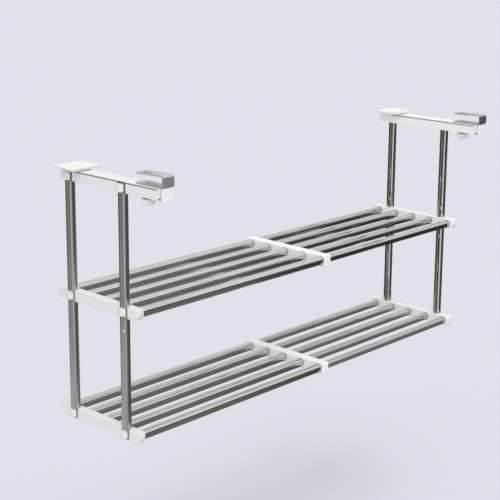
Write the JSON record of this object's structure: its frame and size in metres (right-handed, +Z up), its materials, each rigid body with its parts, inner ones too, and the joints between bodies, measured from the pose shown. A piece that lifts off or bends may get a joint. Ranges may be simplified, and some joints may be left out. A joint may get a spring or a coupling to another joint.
{
  "type": "dish drying shelf",
  "caption": "Width-adjustable two-tier wire-tube shelf that hangs on hooks from a wall cabinet's bottom board and drains dishes.",
  "frame": {"origin": "underside of the cabinet board that the shelf hangs from, midway between the two post frames and between the front and rear posts", "axes": "+X to the right along the width, +Y to the rear towards the wall, +Z up"},
  "size_m": [0.737, 0.2141, 0.3677],
  "materials": {
    "steel_tube": "polished stainless steel tube",
    "steel_post": "polished stainless steel tube",
    "steel_strip": "satin stainless steel strip",
    "steel_screw": "plated steel",
    "white_plastic": "white moulded plastic, slight gloss",
    "cream_pad": "cream foam rubber, matt"
  },
  "bodies": {
    "left_frame": {"left_rear_post": "steel_post", "left_front_post": "steel_post", "lower_left_rail": "white_plastic", "lower_outer_tube_1": "steel_tube", "lower_outer_tube_2": "steel_tube", "lower_outer_tube_3": "steel_tube", "lower_outer_tube_4": "steel_tube", "lower_outer_tube_5": "steel_tube", "lower_connector": "white_plastic", "left_arm": "white_plastic", "left_arm_end_cap": "white_plastic", "left_rest_plate": "white_plastic", "left_rest_pad": "cream_pad"},
    "right_frame": {"right_rear_post": "steel_post", "right_front_post": "steel_post", "lower_right_rail": "white_plastic", "lower_inner_tube_1": "steel_tube", "lower_inner_tube_2": "steel_tube", "lower_inner_tube_3": "steel_tube", "lower_inner_tube_4": "steel_tube", "lower_inner_tube_5": "steel_tube", "right_arm": "white_plastic", "right_arm_end_cap": "white_plastic", "right_rest_plate": "white_plastic", "right_rest_pad": "cream_pad"},
    "upper_left_shelf": {"upper_left_rail": "white_plastic", "upper_outer_tube_1": "steel_tube", "upper_outer_tube_2": "steel_tube", "upper_outer_tube_3": "steel_tube", "upper_outer_tube_4": "steel_tube", "upper_outer_tube_5": "steel_tube", "upper_connector": "white_plastic"},
    "upper_right_shelf": {"upper_right_rail": "white_plastic", "upper_inner_tube_1": "steel_tube", "upper_inner_tube_2": "steel_tube", "upper_inner_tube_3": "steel_tube", "upper_inner_tube_4": "steel_tube", "upper_inner_tube_5": "steel_tube"},
    "left_hook": {"left_hook": "steel_strip"},
    "right_hook": {"right_hook": "steel_strip"},
    "left_knob": {"left_clamp_knob": "white_plastic", "left_clamp_screw": "steel_screw"},
    "right_knob": {"right_clamp_knob": "white_plastic", "right_clamp_screw": "steel_screw"}
  },
  "joints": [
    {"name": "width_slide", "type": "slide", "parent": "left_frame", "child": "right_frame", "axis": [1, 0, 0], "range_m": [-0.3, 0.02]},
    {"name": "upper_left_height", "type": "slide", "parent": "left_frame", "child": "upper_left_shelf", "axis": [0, 0, 1], "range_m": [-0.024, 0.024]},
    {"name": "upper_right_height", "type": "slide", "parent": "right_frame", "child": "upper_right_shelf", "axis": [0, 0, 1], "range_m": [-0.024, 0.024]},
    {"name": "left_hook_slide", "type": "slide", "parent": "left_frame", "child": "left_hook", "axis": [0, 1, 0], "range_m": [-0.012, 0.006]},
    {"name": "right_hook_slide", "type": "slide", "parent": "right_frame", "child": "right_hook", "axis": [0, 1, 0], "range_m": [-0.012, 0.006]},
    {"name": "left_knob_turn", "type": "hinge", "parent": "left_hook", "child": "left_knob", "pos_m": [-0.3435, -0.0944, -0.0252], "axis": [0, 0, 1], "range_deg": [-360, 0]},
    {"name": "right_knob_turn", "type": "hinge", "parent": "right_hook", "child": "right_knob", "pos_m": [0.3435, -0.0944, -0.0252], "axis": [0, 0, 1], "range_deg": [-360, 0]}
  ],
  "couplings": [
    {"joint": "upper_right_height", "follows": "upper_left_height", "ratio": 1}
  ]
}
